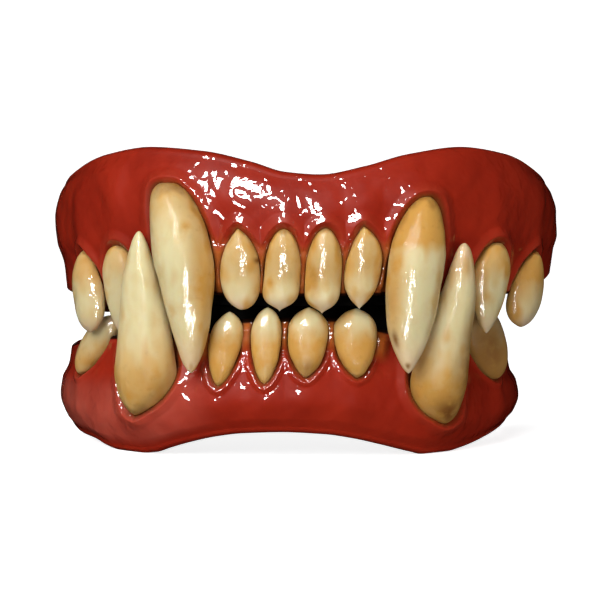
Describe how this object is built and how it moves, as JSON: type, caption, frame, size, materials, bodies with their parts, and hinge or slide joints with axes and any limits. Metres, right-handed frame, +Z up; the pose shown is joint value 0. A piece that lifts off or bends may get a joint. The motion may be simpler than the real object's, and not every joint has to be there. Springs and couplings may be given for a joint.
{
  "type": "werewolf fang veneer set",
  "caption": "Upper and lower false-tooth veneers: glossy red gum walls on a dental arch with long stained ivory fangs and pointed teeth, and dark bite trays behind the front teeth.",
  "frame": {"origin": "bottom centre of the bounding box, on the surface that the lower veneer stands on", "axes": "+X to the right of the picture, +Y back into the mouth, +Z up; the teeth face -Y"},
  "size_m": [0.0686, 0.0378, 0.0396],
  "materials": {
    "gum": "wet gloss",
    "tooth": "polished, stained at the necks",
    "tray": "satin"
  },
  "bodies": {
    "lower": {"lower_gum": "gum", "lower_tray": "tray", "lower_fang_left": "tooth", "lower_fang_right": "tooth", "lower_incisor_1": "tooth", "lower_incisor_2": "tooth", "lower_incisor_3": "tooth", "lower_incisor_4": "tooth", "lower_premolar_left": "tooth", "lower_premolar_right": "tooth"},
    "upper": {"upper_gum": "gum", "upper_tray": "tray", "upper_fang_left": "tooth", "upper_fang_right": "tooth", "upper_incisor_1": "tooth", "upper_incisor_2": "tooth", "upper_incisor_3": "tooth", "upper_incisor_4": "tooth", "upper_premolar_left_1": "tooth", "upper_premolar_left_2": "tooth", "upper_premolar_right_1": "tooth", "upper_premolar_right_2": "tooth"}
  },
  "joints": [
    {"name": "upper_lift", "type": "slide", "parent": "lower", "child": "upper", "axis": [0, 0, 1], "range_m": [0, 0.04]}
  ]
}
